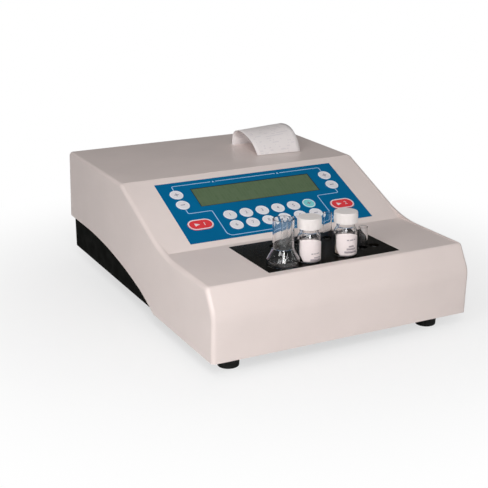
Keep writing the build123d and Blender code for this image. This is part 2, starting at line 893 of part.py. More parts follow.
def main_board():
    """The control board with its larger parts."""
    half = main_board_width / 2
    low = main_board_bottom
    board = block((-half, half), (main_board_front, main_board_rear), (low, main_board_top))
    for x, y in board_hole_places():
        board -= rod(x, y, (low - overrun, main_board_top + overrun), screw_radius)
    buried = main_board_top - board_thickness / 2
    chip_shares = (
        (-0.52, 0.30, 0.16, 0.24),
        (-0.10, 0.34, 0.22, 0.12),
        (-0.10, 0.56, 0.22, 0.12),
        (0.34, 0.40, 0.14, 0.20),
        (0.34, 0.68, 0.20, 0.10),
    )
    for x_share, y_share, width_share, length_share in chip_shares:
        x = x_share * half
        y = main_board_front + y_share * main_board_length
        width = width_share * half
        length = length_share * main_board_length / 2
        z = (buried, main_board_top + chip_height)
        board += block((x - width, x + width), (y - length, y + length), z)
    capacitor_shares = ((-0.86, 0.62), (-0.86, 0.78), (-0.62, 0.82), (0.86, 0.82))
    for x_share, y_share in capacitor_shares:
        x = x_share * half
        y = main_board_front + y_share * main_board_length
        board += rod(x, y, (buried, main_board_top + capacitor_height), capacitor_radius)
    y = tail_top()[0]
    plug_half = tail_width / 2
    plug_y = (y - plug_depth / 2, y + plug_depth / 2)
    plug_z = (buried, main_board_top + tail_plug_height)
    return board + block((tail_x - plug_half, tail_x + plug_half), plug_y, plug_z)


def transformer_centre():
    """Middle of the transformer on the tray floor."""
    return core_x, panel_front - core_setback


def transformer_core():
    """The laminated core with its two windows."""
    x, y = transformer_centre()
    z = (tray_sheet, tray_sheet + core_height)
    half_y = core_depth / 2
    core = block((x - core_width / 2, x + core_width / 2), (y - half_y, y + half_y), z)
    for sign in (-1, 1):
        outer = x + sign * (core_width / 2 - core_leg)
        inner = x + sign * core_leg
        sides = (min(outer, inner), max(outer, inner))
        gap_z = (z[0] + core_leg, z[1] - core_leg)
        core -= block(sides, (y - half_y - overrun, y + half_y + overrun), gap_z)
    return core


def transformer_coil():
    """The winding round the core's middle leg."""
    x, y = transformer_centre()
    z = (tray_sheet + core_leg + coil_gap, tray_sheet + core_height - core_leg - coil_gap)
    half_x = core_width / 2 - core_leg - coil_gap
    half_y = core_depth / 2 + coil_overhang
    coil = block((x - half_x, x + half_x), (y - half_y, y + half_y), z)
    coil = fillet(coil.edges().filter_by(Axis.Z), coil_overhang / 2)
    bore_x = core_leg + coil_gap
    bore_y = core_depth / 2 + coil_gap
    return coil - block((x - bore_x, x + bore_x), (y - bore_y, y + bore_y), (0, top_height))


def power_inlet():
    """The mains socket with its three blades."""
    face = panel_rear + inlet_flange_thickness
    flange = rear_window(inlet_x, inlet_flange_width, inlet_flange_height, (panel_rear, face))
    flange = fillet(flange.edges().filter_by(Axis.Y), inlet_flange_thickness)
    body_y = (panel_rear - inlet_body_depth, face)
    body = rear_window(inlet_x, inlet_body_width, inlet_body_height, body_y)
    socket_y = (face - inlet_socket_depth, face + overrun)
    socket = rear_window(inlet_x, inlet_socket_width, inlet_socket_height, socket_y)
    upper = socket.edges().filter_by(Axis.Y).sort_by(Axis.Z)[-2:]
    socket = chamfer(upper, inlet_socket_chamfer)
    inlet = flange + body - socket
    for sign in (-1, 1):
        x = inlet_x + sign * inlet_screw_pitch / 2
        inlet -= rod_y(x, (panel_rear - overrun, face + overrun), power_height, screw_radius + running_gap)
    blade_places = ((-1, -1), (0, 1), (1, -1))
    for column, row in blade_places:
        x = inlet_x + column * inlet_blade_pitch
        z = power_height + row * inlet_blade_rise
        half_x = inlet_blade_thickness / 2
        half_z = inlet_blade_width / 2
        y = (face - inlet_socket_depth - inlet_blade_thickness, face - inlet_blade_setback)
        inlet += block((x - half_x, x + half_x), y, (z - half_z, z + half_z))
    return inlet


def power_switch_frame():
    """The switch's snap-in frame with the pocket for its rocker."""
    face = panel_rear + switch_frame_thickness
    rim = rear_window(switch_x, switch_frame_width, switch_frame_height, (panel_rear, face))
    rim = fillet(rim.edges().filter_by(Axis.Y), switch_frame_thickness / 2)
    body_y = (panel_rear - switch_body_depth, face)
    body = rear_window(switch_x, switch_body_width, switch_body_height, body_y)
    pocket_depth = rocker_drop + rocker_radius + 2 * rocker_gap
    width = rocker_width + 2 * rocker_gap
    height = 2 * (rocker_radius + rocker_gap)
    frame = rim + body - rear_window(switch_x, width, height, (face - pocket_depth, face + overrun))
    half = rocker_width / 2 + rocker_pin_length + rocker_gap
    pins = (switch_x - half, switch_x + half)
    return frame - rod_x(pins, face - rocker_drop, power_height, rocker_pin_radius + running_gap)


def power_switch_rocker():
    """The rocker on its two pins, tipped to one side."""
    face = panel_rear + switch_frame_thickness - rocker_drop
    half = rocker_width / 2
    body = rod_x((switch_x - half, switch_x + half), face, power_height, rocker_radius)
    for sign in (-1, 1):
        cutter = Box(rocker_width + overrun, 4 * rocker_radius, 4 * rocker_radius)
        cutter = Pos(0, 2 * rocker_radius + rocker_crown, 0) * cutter
        body -= Pos(switch_x, face, power_height) * Rot(sign * rocker_angle, 0, 0) * cutter
    long_half = half + rocker_pin_length
    body += rod_x((switch_x - long_half, switch_x + long_half), face, power_height, rocker_pin_radius)
    pivot = Axis((switch_x, face, power_height), (1, 0, 0))
    return body.rotate(pivot, rocker_angle)


def serial_port():
    """The data connector with its shell and nine pins."""
    face = panel_rear + port_flange_thickness
    tip = face + port_shell_length
    flange = rear_window(port_x, port_flange_width, port_flange_height, (panel_rear, face))
    shell_y = (panel_rear - port_body_depth, tip)
    shell = rear_window(port_x, port_shell_width, port_shell_height, shell_y)
    hollow_width = port_shell_width - 2 * port_shell_wall
    hollow_height = port_shell_height - 2 * port_shell_wall
    hollow = rear_window(port_x, hollow_width, hollow_height, (panel_rear, tip + overrun))
    hollow = chamfer(hollow.edges().filter_by(Axis.Y).sort_by(Axis.Z)[:2], port_shell_chamfer)
    port = flange + shell - hollow
    for sign in (-1, 1):
        x = port_x + sign * port_screw_pitch / 2
        port -= rod_y(x, (panel_rear - overrun, face + overrun), power_height, screw_radius + running_gap)
    for row, count in ((1, 5), (-1, 4)):
        for i in range(count):
            x = port_x + (i - (count - 1) / 2) * port_pin_pitch
            z = power_height + row * port_pin_rows_gap / 2
            port += rod_y(x, (panel_rear - port_pin_radius, face + port_shell_length / 2), z, port_pin_radius)
    return port


def printer_frame():
    """Two sheet sides joined by a cross plate, standing on the tray floor."""
    y = (paper_y - frame_front_reach, paper_y + frame_rear_reach)
    parts = []
    for sign in (-1, 1):
        inner = paper_x + sign * frame_half_width
        outer = inner + sign * frame_sheet
        side = block((min(inner, outer), max(inner, outer)), y, (tray_sheet, frame_top))
        foot_edge = outer + sign * frame_foot_width
        foot_x = (min(inner, foot_edge), max(inner, foot_edge))
        side += block(foot_x, y, (tray_sheet, tray_sheet + frame_sheet))
        parts.append(side)
    low = roll_height - roll_radius - 2 * frame_sheet
    half = frame_half_width + frame_sheet / 2
    cross = block((paper_x - half, paper_x + half), y, (low - frame_sheet, low))
    frame = parts[0] + parts[1] + cross
    through = (paper_x - 2 * frame_half_width, paper_x + 2 * frame_half_width)
    frame -= rod_x(through, roll_y, roll_height, spindle_radius + running_gap)
    frame -= rod_x(through, platen_y, platen_height, platen_shaft_radius + running_gap)
    return frame


def roll_spindle():
    """The plain spindle that carries the paper roll."""
    half = frame_half_width + frame_sheet
    return rod_x((paper_x - half, paper_x + half), roll_y, roll_height, spindle_radius)


def paper_roll():
    """The paper roll on its spindle."""
    half = paper_width / 2
    roll = rod_x((paper_x - half, paper_x + half), roll_y, roll_height, roll_radius)
    bore = (paper_x - half - overrun, paper_x + half + overrun)
    return roll - rod_x(bore, roll_y, roll_height, spindle_radius + fit_gap)


def platen_roller():
    """The rubber roller that feeds the paper, with its shaft ends."""
    half = paper_width / 2 + frame_side_gap / 2
    roller = rod_x((paper_x - half, paper_x + half), platen_y, platen_height, platen_radius)
    short_end = paper_x + frame_half_width + frame_sheet
    long_end = paper_x - frame_half_width - frame_sheet - platen_shaft_length
    return roller + rod_x((long_end, short_end), platen_y, platen_height, platen_shaft_radius)


def printer_motor():
    """The stepper motor on the outside of the printer frame, in line with the platen."""
    seat = paper_x - frame_half_width - frame_sheet
    half = motor_size / 2
    high = min(platen_height + half, frame_top)
    body = block((seat - motor_length, seat), (platen_y - half, platen_y + half), (high - motor_size, high))
    body = fillet(body.edges().filter_by(Axis.X), frame_sheet)
    bore = (seat - platen_shaft_length - fit_gap, seat + overrun)
    return body - rod_x(bore, platen_y, platen_height, platen_shaft_radius + running_gap)


def print_head():
    """The thermal print head behind the paper."""
    y = paper_y + fit_gap
    half = frame_half_width
    z = (platen_height - head_height / 2, platen_height + head_height / 2)
    return block((paper_x - half, paper_x + half), (y, y + head_depth), z)


def paper_strip():
    """The printed paper: up from the roll, out of the slot and over in an arch."""
    top = top_height + arch_rise
    corners = [
        (paper_y, roll_height),
        (paper_y, top),
        (paper_y - arch_brow_run, top),
        (paper_y - arch_knee_run, top_height + arch_knee_rise),
        (paper_y - arch_reach, top_height + paper_rest_gap),
    ]
    radii = [arch_rear_radius, arch_brow_radius, arch_knee_radius]
    inner = moved_in([(-y, z) for y, z in corners], paper_thickness)
    inner = [(-y, z) for y, z in inner]
    inner_radii = [radius - paper_thickness for radius in radii]
    outer_line = FilletPolyline(*[(0, y, z) for y, z in corners], radius=radii)
    inner_line = FilletPolyline(*[(0, y, z) for y, z in inner], radius=inner_radii)
    ends = [Line(outer_line @ 0, inner_line @ 0), Line(outer_line @ 1, inner_line @ 1)]
    edges = outer_line.edges() + inner_line.edges() + [e for end in ends for e in end.edges()]
    half = paper_width / 2
    return along_x(make_face(edges), (paper_x - half, paper_x + half))


def vial():
    """A small glass bottle standing on the origin."""
    shoulder = vial_body_height + vial_shoulder_height
    neck_bore = vial_neck_radius - vial_wall
    body_bore = vial_radius - vial_wall
    points = [
        (0, 0),
        (vial_radius, 0),
        (vial_radius, vial_body_height),
        (vial_neck_radius, shoulder),
        (vial_neck_radius, vial_height),
        (neck_bore, vial_height),
        (neck_bore, shoulder),
        (body_bore, vial_body_height),
        (body_bore, vial_floor),
        (0, vial_floor),
    ]
    soft = vial_wall
    return spun(points, [0, soft, 2 * soft, soft, soft / 4, soft / 4, soft, 2 * soft, soft, 0])


def vial_cap():
    """The vial's white cap, drawn where it sits on the vial."""
    bore = vial_neck_radius + cap_gap
    low = vial_height + cap_top - cap_height
    high = vial_height + cap_top
    points = [
        (0, high),
        (cap_radius, high),
        (cap_radius, low),
        (bore, low),
        (bore, vial_height),
        (0, vial_height),
    ]
    return spun(points, [0, cap_edge_radius, cap_edge_radius / 3, 0, 0, 0])


def flask():
    """A bell-shaped open glass vessel standing on the origin."""
    waist_z = (flask_skirt + flask_neck_start) / 2
    flare = flask_radius - flask_neck_radius

    def side(inset, foot):
        waist_r = flask_neck_radius + flare * flask_waist_share
        low = (flask_radius - inset, 0, flask_skirt)
        middle = (waist_r - inset, 0, waist_z)
        high = (flask_neck_radius - inset, 0, flask_neck_start)
        lines = [Line((flask_radius - inset, 0, foot), low)]
        lines.append(ThreePointArc(low, middle, high))
        lines.append(Line(high, (flask_neck_radius - inset, 0, flask_height)))
        return lines

    lines = side(0, 0) + side(vial_wall, vial_floor)
    lines.append(Line((0, 0, 0), (flask_radius, 0, 0)))
    lines.append(Line((0, 0, vial_floor), (flask_radius - vial_wall, 0, vial_floor)))
    lines.append(Line((0, 0, 0), (0, 0, vial_floor)))
    rim = flask_neck_radius - vial_wall
    lines.append(Line((flask_neck_radius, 0, flask_height), (rim, 0, flask_height)))
    glass = revolve(make_face([edge for line in lines for edge in line.edges()]), Axis.Z)
    foot = [e for e in glass.edges() if e.center().Z < match_tolerance and e.length > flask_radius]
    return fillet(foot, vial_wall)


def test_tube():
    """A round-bottomed glass tube standing on the origin."""
    def solid(radius, low):
        barrel = rod(0, 0, (low + radius, tube_length), radius)
        return barrel + Pos(0, 0, low + radius) * Sphere(radius)

    outer = solid(tube_radius, 0)
    bore = solid(tube_radius - tube_wall, tube_wall)
    bore += rod(0, 0, (tube_length - tube_radius, tube_length + overrun), tube_radius - tube_wall)
    return outer - bore


def tube_places():
    """Foot of each tube: three in the rear row and one in the first test well."""
    row = row_well_places()
    row_floor = deck_height - row_well_depth + tube_rest_gap
    test_floor = deck_height - test_well_depth + tube_rest_gap
    places = [(row[i][0], row[i][1], row_floor) for i in wells_before_tube_count]
    x, y = test_well_places()[0]
    return places + [(x, y, test_floor)]


stand = Pos(0, -(rear_foot - crease_lean) / 2, foot_height)


def save(name, made):
    """Stands a piece, or a group of like pieces, on the table and writes its file."""
    pieces = made if isinstance(made, list) else [made]
    solids = [solid for piece in pieces for solid in piece.solids()]
    shape = solids[0] if len(solids) == 1 else Compound(children=solids)
    export_step(stand * shape, f"parts/{name}.step")


os.makedirs("parts", exist_ok=True)
save("top_cover", top_cover())
save("base_tray", base_tray())
save("rear_panel", rear_panel())
save("rubber_feet", rubber_feet())
save("screws", screws())
save("keypad_overlay", keypad_overlay())
save("keypad_circuit", keypad_circuit())
for key_name, key_x, key_run_down, key_long in keys():
    save(key_name, key_body(key_x, key_run_down, key_long))
save("display_window", display_window())
save("lcd_bezel", lcd_bezel())
save("lcd_glass", lcd_glass())
save("lcd_board", lcd_board())
save("block_top_plate", block_top_plate())
save("incubation_block", incubation_block())
save("spacers", spacers())
save("block_heater", block_heater())
save("channel_leds", channel_leds())
save("detector_board", detector_board())
save("stirrer_motor", stirrer_motor())
save("stirrer_rotor", stirrer_rotor())
save("main_board", main_board())
save("transformer_core", transformer_core())
save("transformer_coil", transformer_coil())
save("power_inlet", power_inlet())
save("power_switch_frame", power_switch_frame())
save("power_switch_rocker", power_switch_rocker())
save("serial_port", serial_port())
save("printer_frame", printer_frame())
save("printer_motor", printer_motor())
save("print_head", print_head())
save("platen_roller", platen_roller())
save("roll_spindle", roll_spindle())
save("paper_roll", paper_roll())
save("paper_strip", paper_strip())
for number, (vial_x, vial_y) in enumerate(vial_centres, 1):
    save(f"reagent_vial_{number}", Pos(vial_x, vial_y, deck_height) * vial())
    save(f"vial_cap_{number}", Pos(vial_x, vial_y, deck_height) * vial_cap())
save("glass_flask", Pos(flask_centre[0], flask_centre[1], deck_height) * flask())
for number, place in enumerate(tube_places(), 1):
    save(f"test_tube_{number}", Pos(*place) * test_tube())
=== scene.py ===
import json
from math import cos, pi, radians, sin

import bmesh
import bpy
from mathutils import Matrix, Vector
from mathutils.bvhtree import BVHTree


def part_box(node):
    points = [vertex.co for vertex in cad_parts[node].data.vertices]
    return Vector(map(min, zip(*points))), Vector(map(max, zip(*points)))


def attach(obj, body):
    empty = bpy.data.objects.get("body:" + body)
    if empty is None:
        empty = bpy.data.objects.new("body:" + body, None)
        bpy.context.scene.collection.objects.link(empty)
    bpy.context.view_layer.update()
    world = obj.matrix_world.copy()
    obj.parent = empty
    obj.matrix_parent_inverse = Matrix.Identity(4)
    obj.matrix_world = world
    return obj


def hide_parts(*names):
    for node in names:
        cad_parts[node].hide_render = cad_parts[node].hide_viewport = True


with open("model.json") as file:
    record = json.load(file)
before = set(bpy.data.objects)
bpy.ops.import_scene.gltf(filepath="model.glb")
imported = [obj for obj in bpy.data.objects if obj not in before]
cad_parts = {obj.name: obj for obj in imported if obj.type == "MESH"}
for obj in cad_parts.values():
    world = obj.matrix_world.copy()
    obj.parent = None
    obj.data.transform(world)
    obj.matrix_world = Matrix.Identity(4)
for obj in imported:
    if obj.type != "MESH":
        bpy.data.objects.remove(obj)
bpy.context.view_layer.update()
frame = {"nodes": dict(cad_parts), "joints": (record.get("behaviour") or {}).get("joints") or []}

# One millimetre in metres, for sizes that are easiest to read in millimetres
MM = 0.001

# The corners of a rectangle, in halves of its width and height from its middle
CORNERS = ((-1, -1), (1, -1), (1, 1), (-1, 1))

# How high a key's face stands over the overlay, and how high a legend's middle lies over the key
key_high = 0.35 * MM
ink_lift = 0.05 * MM

# The slope's own axes, found from the keypad overlay and the way its keys travel
press = Vector(next(j["axis"] for j in frame["joints"] if j["name"] == "key_row_1_1_press"))
slope_sin = press.y
slope_cos = -press.z
overlay_low, overlay_high = (Vector(corner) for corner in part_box("keypad_overlay"))
overlay_rise = overlay_high.z - overlay_low.z
overlay_run = overlay_high.y - overlay_low.y
overlay_length = (overlay_run * slope_cos - overlay_rise * slope_sin) / (slope_cos ** 2 - slope_sin ** 2)
overlay_thick = (overlay_rise - overlay_length * slope_sin) / slope_cos
overlay_edge = Vector((0, overlay_high.y - overlay_thick * slope_sin, overlay_high.z))
SLOPE = Matrix((
    (1, 0, 0, 0),
    (0, slope_cos, -slope_sin, overlay_edge.y),
    (0, slope_sin, slope_cos, overlay_edge.z),
    (0, 0, 0, 1),
))


def on_slope(x, run, lift):
    """A point across the keypad, down from its upper edge, and lifted off its face."""
    return SLOPE @ Vector((x, -run, lift))


def slope_place(node):
    """A key's centre across the keypad and down from its upper edge."""
    low, high = (Vector(corner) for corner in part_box(node))
    local = SLOPE.inverted() @ ((low + high) / 2)
    return local.x, -local.y


# Node helpers for materials

# The middle of a noise's range, over which a tone or a gloss changes
NOISE_MIDDLE = (0.35, 0.65)


def math_node(tree, operation, *values):
    """A maths node whose inputs are numbers or other nodes' outputs."""
    made = tree.nodes.new("ShaderNodeMath")
    made.operation = operation
    for slot, value in enumerate(values):
        if isinstance(value, (int, float)):
            made.inputs[slot].default_value = value
        else:
            tree.links.new(value, made.inputs[slot])
    return made.outputs[0]


class Shader:
    """A material with one Principled shader, built up node by node."""

    def __init__(self, name, color, roughness, **inputs):
        self.material = bpy.data.materials.new(name)
        self.material.use_nodes = True
        self.tree = self.material.node_tree
        self.main = self.tree.nodes["Principled BSDF"]
        self.main.inputs["Base Color"].default_value = (*color, 1.0)
        self.main.inputs["Roughness"].default_value = roughness
        for key, value in inputs.items():
            self.main.inputs[key.replace("_", " ")].default_value = value
        self.bumps = None

    def node(self, kind, inputs=None, **settings):
        """A new node with its settings, and with numbers, colours or links on its named inputs."""
        made = self.tree.nodes.new(kind)
        for key, value in settings.items():
            setattr(made, key, value)
        for key, value in (inputs or {}).items():
            if isinstance(value, bpy.types.NodeSocket):
                self.link(value, made.inputs[key])
            else:
                made.inputs[key].default_value = value
        return made

    def math(self, operation, *values):
        return math_node(self.tree, operation, *values)

    def link(self, start, end):
        self.tree.links.new(start, end)

    def place(self):
        return self.node("ShaderNodeTexCoord").outputs["Object"]

    def noise(self, scale, detail=3.0, roughness=0.55, stretch=None):
        """Noise with about as many waves a metre as its scale says."""
        source = self.place()
        if stretch:
            source = self.node("ShaderNodeMapping", {"Scale": stretch, "Vector": source}).outputs["Vector"]
        inputs = {"Scale": scale, "Detail": detail, "Roughness": roughness, "Vector": source}
        return self.node("ShaderNodeTexNoise", inputs).outputs["Fac"]

    def ramp(self, factor, low, high):
        """Runs from one colour to another over the middle of a noise's range."""
        made = self.node("ShaderNodeValToRGB", {"Fac": factor})
        for element, place, value in zip(made.color_ramp.elements, NOISE_MIDDLE, (low, high)):
            element.position = place
            element.color = (*value, 1.0)
        return made.outputs["Color"]

    def tint(self, factor, low, high):
        """Base colour wanders between two tones."""
        self.link(self.ramp(factor, low, high), self.main.inputs["Base Color"])

    def gloss(self, factor, low, high):
        """Roughness wanders between two values."""
        self.link(self.ramp(factor, (low, low, low), (high, high, high)), self.main.inputs["Roughness"])

    def bump(self, factor, distance, strength):
        """Adds a relief to those that are there already."""
        made = self.node("ShaderNodeBump", {"Distance": distance, "Strength": strength, "Height": factor})
        if self.bumps:
            self.link(self.bumps, made.inputs["Normal"])
        self.bumps = made.outputs["Normal"]
        self.link(self.bumps, self.main.inputs["Normal"])


def srgb(red, green, blue):
    """A colour given as it looks on a screen, from 0 to 255, as linear light."""
    def linear(value):
        value /= 255
        return value / 12.92 if value <= 0.04045 else ((value + 0.055) / 1.055) ** 2.4
    return linear(red), linear(green), linear(blue)


def shade(color, factor):
    """A colour made darker or lighter."""
    return tuple(min(1.0, channel * factor) for channel in color)


# Finishes

def moulded(name, color, roughness, grain, depth, spread, **inputs):
    """Moulded plastic or paint with a fine grain and a slow wander of tone and gloss."""
    made = Shader(name, color, roughness, **inputs)
    made.tint(made.noise(scale=14.0), shade(color, 1 - spread), shade(color, 1 + spread))
    made.gloss(made.noise(scale=60.0), low=roughness * 0.9, high=min(1.0, roughness * 1.12))
    made.bump(made.noise(grain, detail=2.0), depth, strength=0.5)
    return made


def cover_finish():
    """The cover's plastic, with a coarser grain under the fine one."""
    depth = 0.07 * MM
    made = moulded("cover_moulding", srgb(236, 222, 217), roughness=0.33, grain=2600.0, depth=depth,
                   spread=0.02, Specular_IOR_Level=0.45)
    made.bump(made.noise(scale=900.0, detail=2.0), depth, strength=0.5)
    return made


def black_sheet(name, color, roughness, specular):
    """Lacquered or coated black sheet."""
    return moulded(name, color, roughness, grain=1800.0, depth=0.08 * MM, spread=0.06,
                   Specular_IOR_Level=specular)


def paper_stock(name, color, roughness, grain, depth, spread):
    """Plain paper, without gloss."""
    return moulded(name, color, roughness, grain, depth, spread, Specular_IOR_Level=0.2)


def overlay_finish():
    """The keypad's blue print."""
    deep = srgb(0, 100, 148)
    light = srgb(0, 110, 160)
    made = Shader("overlay_print", deep, roughness=0.5, Specular_IOR_Level=0.03)
    made.tint(made.noise(scale=6.0), deep, light)
    made.bump(made.noise(scale=3000.0, detail=1.0), distance=0.03 * MM, strength=0.4)
    return made


def key_finish(name, color):
    """Smooth plastic or print with a faint cloud of tone."""
    made = Shader(name, color, roughness=0.32, Specular_IOR_Level=0.35)
    made.tint(made.noise(scale=40.0), shade(color, 0.96), shade(color, 1.03))
    made.bump(made.noise(scale=1500.0, detail=1.0), distance=0.02 * MM, strength=0.4)
    return made


def display_finish():
    """The green of the liquid crystal cell."""
    made = Shader("display_cell", srgb(84, 104, 66), roughness=0.25)
    made.tint(made.noise(scale=9.0), srgb(72, 92, 56), srgb(92, 110, 72))
    return made


def cells_finish():
    """The display's green with its faint four rows of character cells."""
    columns = 40
    rows = 4
    gap = 0.003
    made = Shader("display_cells", srgb(84, 102, 76), roughness=0.4, Specular_IOR_Level=0.15)
    bricks = made.node("ShaderNodeTexBrick", {
        "Color1": (*srgb(86, 107, 76), 1),
        "Color2": (*srgb(93, 113, 82), 1),
        "Mortar": (*srgb(92, 112, 82), 1),
        "Scale": 1.0, "Brick Width": 1 / columns, "Row Height": 1 / rows, "Mortar Size": gap,
        "Vector": made.node("ShaderNodeUVMap", uv_map="cells").outputs["UV"],
    }, offset=0.0)
    made.link(bricks.outputs["Color"], made.main.inputs["Base Color"])
    return made


def clear_finish(name, ior):
    """Clear glass or plastic with a faint ripple."""
    made = Shader(name, (1.0, 1.0, 1.0), roughness=0.0, Transmission_Weight=1.0, IOR=ior)
    made.bump(made.noise(scale=25.0, detail=1.0), distance=0.2 * MM, strength=0.15)
    return made


def metal_finish(name, color, roughness, stretch=None):
    """Bare metal, with its grain drawn out where it is stretched."""
    made = Shader(name, color, roughness, Metallic=1.0)
    made.tint(made.noise(scale=30.0), shade(color, 0.93), shade(color, 1.03))
    gloss = made.noise(scale=200.0, roughness=0.6, stretch=stretch)
    made.gloss(gloss, low=roughness * 0.75, high=roughness * 1.3)
    made.bump(made.noise(scale=400.0, roughness=0.6, stretch=stretch), distance=0.04 * MM, strength=0.3)
    return made


def printed(name, color, ink, rows, words, keep):
    """Paper with faint rows of broken bars, where u runs across and v along the rows' stack."""
    band_half = 0.24
    margin_half = 0.42
    row_shift = 7.3
    made = Shader(name, color, roughness=0.6, Specular_IOR_Level=0.2, Subsurface_Weight=0.35,
                  Subsurface_Scale=1 * MM, Subsurface_Radius=(1.0, 1.0, 1.0))
    uv = made.node("ShaderNodeUVMap", uv_map="print")
    split = made.node("ShaderNodeSeparateXYZ", {"Vector": uv.outputs["UV"]})
    across = split.outputs["X"]
    along = made.math("MULTIPLY", split.outputs["Y"], rows)
    off_row = made.math("ABSOLUTE", made.math("SUBTRACT", made.math("FRACT", along), 0.5))
    band = made.math("LESS_THAN", off_row, band_half)
    cell = made.node("ShaderNodeCombineXYZ", {
        "X": made.math("MULTIPLY", across, words),
        "Y": made.math("MULTIPLY", made.math("FLOOR", along), row_shift),
    })
    noise = made.node("ShaderNodeTexNoise", {"Scale": 1.0, "Detail": 2.0, "Vector": cell.outputs["Vector"]})
    word = made.math("GREATER_THAN", noise.outputs["Fac"], keep)
    off_middle = made.math("ABSOLUTE", made.math("SUBTRACT", across, 0.5))
    margin = made.math("LESS_THAN", off_middle, margin_half)
    mix = made.node("ShaderNodeMix", {
        "Factor": made.math("MULTIPLY", made.math("MULTIPLY", band, word), margin),
        "A": made.ramp(made.noise(scale=30.0), shade(color, 0.98), shade(color, 1.01)),
        "B": (*ink, 1.0),
    }, data_type="RGBA")
    made.link(mix.outputs["Result"], made.main.inputs["Base Color"])
    made.bump(made.noise(scale=700.0, detail=2.0), distance=0.04 * MM, strength=0.4)
    return made


cover = cover_finish()
tray = black_sheet("tray_coat", srgb(11, 12, 9), roughness=0.6, specular=0.02)
plate = black_sheet("plate_lacquer", srgb(19, 17, 13), roughness=0.2, specular=0.04)
bezel = black_sheet("bezel_satin", srgb(16, 24, 24), roughness=0.4, specular=0.2)
rubber = moulded("foot_rubber", srgb(26, 27, 25), roughness=0.7, grain=900.0, depth=0.1 * MM, spread=0.1)
overlay = overlay_finish()
key_white = key_finish("key_pale", srgb(234, 231, 235))
key_teal = key_finish("key_teal", srgb(124, 214, 216))
key_red = key_finish("key_red", srgb(226, 30, 44))
key_rim = key_finish("key_rim", srgb(240, 246, 254))
trim_pale = key_finish("print_pale", srgb(240, 224, 228))
trim_line = key_finish("print_line", srgb(172, 206, 240))
legend_ink = key_finish("legend_ink", srgb(138, 138, 156))
display = display_finish()
display_cells = cells_finish()
pane = clear_finish("window_pane", ior=1.3)
glass = clear_finish("bottle_glass", ior=1.47)
cap_white = moulded("cap_moulding", srgb(238, 231, 228), roughness=0.45, grain=1200.0, depth=0.03 * MM,
                    spread=0.02)
aluminium = metal_finish("block_aluminium", (0.75, 0.75, 0.76), roughness=0.3, stretch=(1, 40, 1))
steel = metal_finish("zinc_steel", (0.62, 0.62, 0.63), roughness=0.35)
brass = metal_finish("spacer_brass", (0.75, 0.58, 0.28), roughness=0.3)
dark_plastic = moulded("socket_moulding", srgb(26, 26, 27), roughness=0.45, grain=1500.0, depth=0.04 * MM,
                       spread=0.1)
rocker_plastic = moulded("rocker_moulding", srgb(20, 20, 21), roughness=0.22, grain=1500.0, depth=0.02 * MM,
                         spread=0.1)
board = moulded("circuit_board", srgb(30, 92, 52), roughness=0.4, grain=800.0, depth=0.05 * MM, spread=0.15)
film = moulded("switch_film", srgb(190, 178, 150), roughness=0.5, grain=900.0, depth=0.03 * MM, spread=0.08)
heater_film = moulded("heater_film", srgb(190, 100, 40), roughness=0.4, grain=900.0, depth=0.03 * MM,
                      spread=0.1)
tape = moulded("winding_tape", srgb(210, 176, 70), roughness=0.4, grain=700.0, depth=0.06 * MM, spread=0.08)
lens = key_finish("lamp_lens", srgb(190, 40, 30))
white_plastic = moulded("rotor_moulding", srgb(225, 222, 214), roughness=0.45, grain=1200.0, depth=0.04 * MM,
                        spread=0.03)
paper = paper_stock("thermal_paper", srgb(236, 226, 228), roughness=0.62, grain=700.0, depth=0.04 * MM,
                    spread=0.015)
label_paper = paper_stock("label_paper", srgb(242, 230, 229), roughness=0.5, grain=900.0, depth=0.02 * MM,
                          spread=0.01)
label_ink = paper_stock("label_ink", srgb(178, 168, 172), roughness=0.5, grain=900.0, depth=0.02 * MM,
                        spread=0.02)
printed_paper = printed("printed_paper", srgb(254, 245, 244), srgb(243, 234, 235), rows=40, words=6,
                        keep=0.56)
reagent = moulded("reagent_powder", srgb(196, 174, 162), roughness=0.8, grain=700.0, depth=0.3 * MM,
                  spread=0.05, Specular_IOR_Level=0.1)

# The one key of another colour, which also carries a plus
TEAL_KEY = "key_row_1_6"

finishes = {
    "top_cover": cover, "base_tray": tray, "rear_panel": tray, "rubber_feet": rubber,
    "screws": steel, "keypad_overlay": overlay, "keypad_circuit": film, "display_window": pane,
    "lcd_bezel": bezel, "lcd_glass": display, "lcd_board": board, "block_top_plate": plate,
    "incubation_block": aluminium, "spacers": brass, "block_heater": heater_film,
    "channel_leds": lens, "detector_board": board, "stirrer_motor": steel,
    "stirrer_rotor": white_plastic, "main_board": board, "transformer_core": steel,
    "transformer_coil": tape, "power_inlet": dark_plastic, "power_switch_frame": dark_plastic,
    "power_switch_rocker": rocker_plastic, "serial_port": steel, "printer_frame": steel,
    "printer_motor": steel, "print_head": dark_plastic, "platen_roller": rubber,
    "roll_spindle": dark_plastic, "paper_roll": paper, "paper_strip": paper,
    "reagent_vial_1": glass, "reagent_vial_2": glass, "vial_cap_1": cap_white,
    "vial_cap_2": cap_white, "glass_flask": glass,
}


def node_finish(node):
    """The finish of a carried-over solid."""
    if node.startswith("test_tube"):
        return glass
    if node.startswith("key_start"):
        return key_red
    if node == TEAL_KEY:
        return key_teal
    if node.startswith("key_"):
        return key_white
    return finishes[node]


def dress(node, shader):
    """Gives a carried-over solid its finish."""
    mesh = frame["nodes"][node].data
    mesh.materials.clear()
    mesh.materials.append(shader.material)


# Pieces that only the scene adds

def add_piece(name, mesh, shader, body, smooth=True):
    """Puts a finished mesh in the scene, riding on a body."""
    if smooth:
        mesh.polygons.foreach_set("use_smooth", [True] * len(mesh.polygons))
    mesh.materials.append(shader.material)
    piece = bpy.data.objects.new(name, mesh)
    bpy.context.scene.collection.objects.link(piece)
    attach(piece, body)
    return piece


